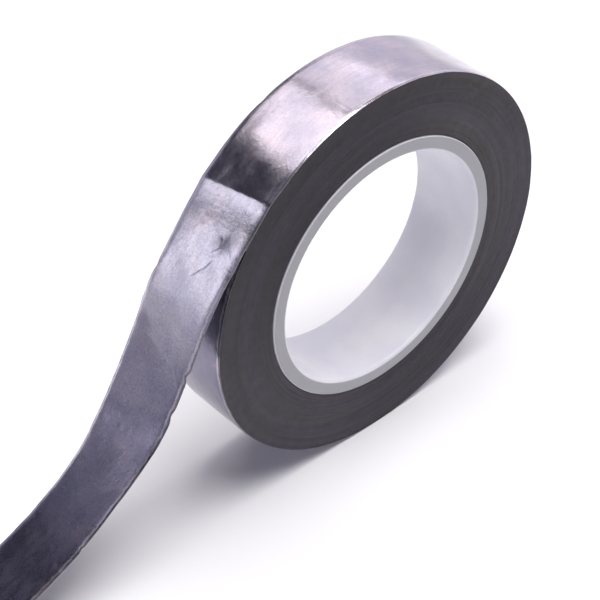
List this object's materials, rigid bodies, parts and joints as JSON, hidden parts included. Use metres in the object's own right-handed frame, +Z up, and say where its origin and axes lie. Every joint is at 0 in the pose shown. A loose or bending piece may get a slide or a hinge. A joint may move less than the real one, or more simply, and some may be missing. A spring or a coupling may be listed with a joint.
{
  "type": "copper foil tape roll",
  "caption": "Roll of tinned copper foil tape on a plastic core, standing on its rim, with a loose leader that bends and a liner tab that peels.",
  "frame": {"origin": "middle of the core's bore, on its axis", "axes": "+Y along the bore, +Z up, the leader comes off towards -X"},
  "size_m": [0.2283, 0.026, 0.1251],
  "materials": {
    "core_plastic": "white translucent moulded plastic, satin",
    "tinned_foil": "tin-plated copper foil, soft silver with fine burnish marks",
    "adhesive": "clear acrylic adhesive, dark between the plies",
    "release_liner": "smooth dark grey glassine release paper"
  },
  "bodies": {
    "roll": {"core_tube": "core_plastic", "start_tack": "adhesive", "wound_liner": "release_liner", "wound_adhesive": "adhesive", "wound_foil": "tinned_foil"},
    "leader_upper": {"leader_upper_liner": "release_liner", "leader_upper_adhesive": "adhesive", "leader_upper_foil": "tinned_foil"},
    "leader_lower": {"leader_lower_liner": "release_liner", "leader_lower_adhesive": "adhesive", "leader_lower_foil": "tinned_foil"},
    "leader_end": {"leader_end_liner": "release_liner", "leader_end_adhesive": "adhesive", "leader_end_foil": "tinned_foil"},
    "liner_tab": {"liner_tab": "release_liner"}
  },
  "joints": [
    {"name": "leader_lift", "type": "hinge", "parent": "roll", "child": "leader_upper", "pos_m": [-0.05724, 0, 0.02634], "axis": [0, 1, 0], "range_deg": [0, 75]},
    {"name": "leader_bend", "type": "hinge", "parent": "leader_upper", "child": "leader_lower", "pos_m": [-0.07881, 0, -0.00818], "axis": [0, 1, 0], "range_deg": [-30, 45]},
    {"name": "tip_bend", "type": "hinge", "parent": "leader_lower", "child": "leader_end", "pos_m": [-0.12597, 0, -0.04705], "axis": [0, 1, 0], "range_deg": [-24, 36]},
    {"name": "liner_peel", "type": "hinge", "parent": "leader_end", "child": "liner_tab", "pos_m": [-0.14903, 0, -0.0559], "axis": [0, 1, 0], "range_deg": [-110, 0]}
  ],
  "couplings": [
    {"joint": "tip_bend", "follows": "leader_bend", "ratio": 0.8}
  ]
}
